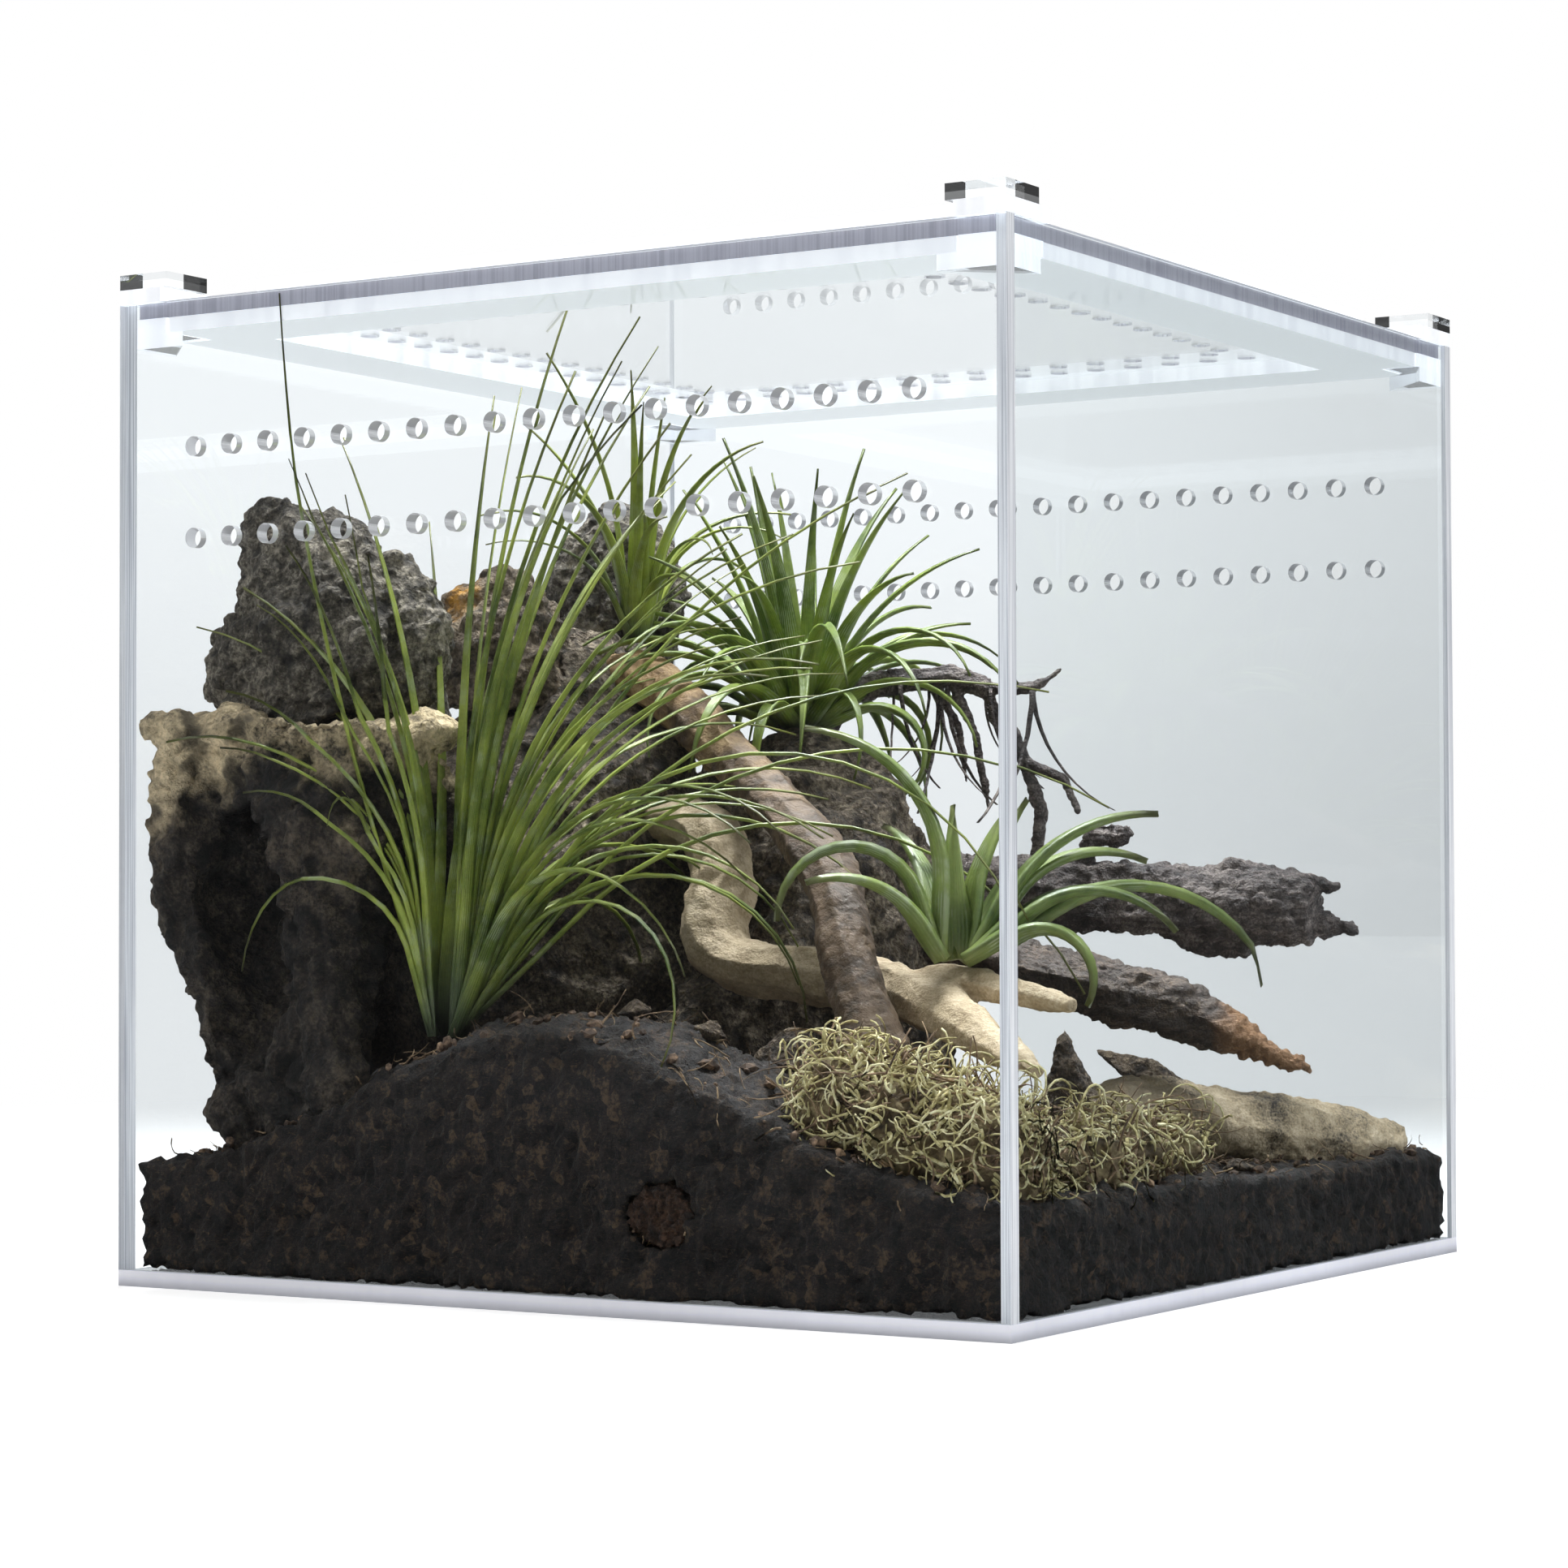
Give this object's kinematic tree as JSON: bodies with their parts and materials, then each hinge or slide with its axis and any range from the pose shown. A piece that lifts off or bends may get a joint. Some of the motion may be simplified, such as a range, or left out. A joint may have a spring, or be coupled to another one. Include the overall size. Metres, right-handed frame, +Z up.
{
  "type": "reptile terrarium",
  "caption": "Clear acrylic terrarium with vented walls and a lift-off vented lid with stacking blocks, planted with cork bark, driftwood, moss, soil and air plants.",
  "frame": {"origin": "centre of the base plate's underside, on the table", "axes": "+Z up; -Y out of the front wall, +X out of the right wall"},
  "size_m": [0.2032, 0.2032, 0.2032],
  "materials": {
    "clear_acrylic": "polished clear sheet",
    "acrylic_base": "clear sheet that glows pale at its edges",
    "soil": "damp, dark, crumbly soil with fibres",
    "cork": "rough grey-brown cork bark",
    "bark": "rough bark with soil in its cracks",
    "brown_driftwood": "worn smooth, grain along the branch",
    "pale_driftwood": "pale, worn smooth, grain along the root",
    "dark_wood": "weathered dark grey-brown",
    "moss": "loose straw-green fibres",
    "grass_leaf": "matt green leaf with a grey bloom",
    "broad_leaf": "satin pale green leaf"
  },
  "bodies": {
    "enclosure": {"base_plate": "acrylic_base", "front_wall": "clear_acrylic", "back_wall": "clear_acrylic", "left_wall": "clear_acrylic", "right_wall": "clear_acrylic", "corner_ledges": "clear_acrylic", "corner_posts": "clear_acrylic", "substrate": "soil", "soil_stone": "bark", "cork_tube": "cork", "cork_tower": "cork", "cork_knob": "cork", "cork_crest": "cork", "bark_mound": "bark", "driftwood_branch": "brown_driftwood", "driftwood_root": "pale_driftwood", "spider_root": "dark_wood", "bark_log": "dark_wood", "bark_slab": "dark_wood", "grounded_wood": "pale_driftwood", "bark_chips": "bark", "front_moss": "moss", "side_moss": "moss", "grassy_plant": "grass_leaf", "spiky_plant": "grass_leaf", "wispy_plant": "grass_leaf", "broad_plant": "broad_leaf"},
    "lid": {"lid_plate": "clear_acrylic", "lid_frame": "clear_acrylic", "front_rail": "clear_acrylic", "side_rail": "clear_acrylic", "corner_pads": "clear_acrylic", "stacking_blocks": "clear_acrylic"}
  },
  "joints": [
    {"name": "lid_lift", "type": "slide", "parent": "enclosure", "child": "lid", "axis": [0, 0, 1], "range_m": [0, 0.08]}
  ]
}
